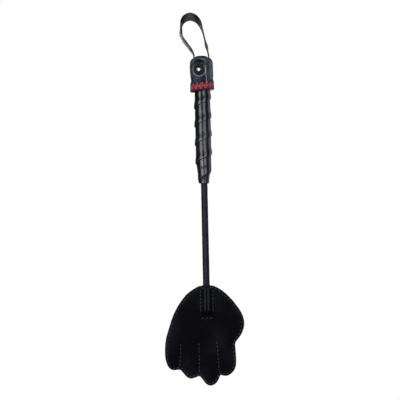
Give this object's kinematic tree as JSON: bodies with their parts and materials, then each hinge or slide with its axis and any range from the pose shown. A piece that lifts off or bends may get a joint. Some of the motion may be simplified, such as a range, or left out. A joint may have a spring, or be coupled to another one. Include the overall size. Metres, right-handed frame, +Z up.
{
  "type": "hand-shaped leather swatter",
  "caption": "Slim leather-covered swatter with a sewn hand-shaped flap, spiral-wrapped grip, snapped cap and wrist loop.",
  "frame": {"origin": "centre of the grip, on the shaft's axis", "axes": "+Z up along the shaft from the hand to the cap, -Y out of the front face, +X to the right seen from the front"},
  "size_m": [0.1027, 0.0568, 0.4849],
  "materials": {
    "rod": "satin",
    "sleeve_leather": "satin",
    "former": "matte",
    "grip_leather": "semi-gloss",
    "cap_leather": "satin",
    "hand_leather": "matte",
    "strap_leather": "satin",
    "thread": "matte",
    "label": "woven, with a red pattern",
    "snap_lacquer": "gloss",
    "snap_metal": "satin",
    "tack": "satin"
  },
  "bodies": {
    "handle": {"core_rod": "rod", "shaft_sleeve": "sleeve_leather", "grip_former": "former", "grip_wrap": "grip_leather", "pommel_core": "former", "cap_leather": "cap_leather", "label_band": "label", "tab_root": "grip_leather", "snap_stud": "snap_metal", "snap_washer": "snap_metal", "strap_tails": "strap_leather", "strap_tacks": "tack", "front_leather_neck": "hand_leather", "back_leather_neck": "hand_leather", "edge_stitches_neck": "thread", "pocket_stitches": "thread", "cross_stitches": "thread"},
    "tab": {"closing_tab": "grip_leather", "snap_button": "snap_lacquer", "snap_socket": "snap_metal"},
    "strap": {"wrist_strap": "strap_leather"},
    "hand": {"front_leather_palm": "hand_leather", "back_leather_palm": "hand_leather", "edge_stitches_palm": "thread", "finger_stitches": "thread"}
  },
  "joints": [
    {"name": "hand_flex", "type": "hinge", "parent": "handle", "child": "hand", "pos_m": [0, 0, -0.236], "axis": [1, 0, 0], "range_deg": [-35, 35], "stiffness_Nm_per_rad": 0.12},
    {"name": "tab_open", "type": "hinge", "parent": "handle", "child": "tab", "pos_m": [-0.00294, -0.01588, 0.0738], "axis": [0.9833, -0.1822, 0], "range_deg": [0, 90]},
    {"name": "strap_flex", "type": "hinge", "parent": "handle", "child": "strap", "pos_m": [0, 0, 0.1025], "axis": [1, 0, 0], "range_deg": [-40, 40], "stiffness_Nm_per_rad": 0.006}
  ]
}
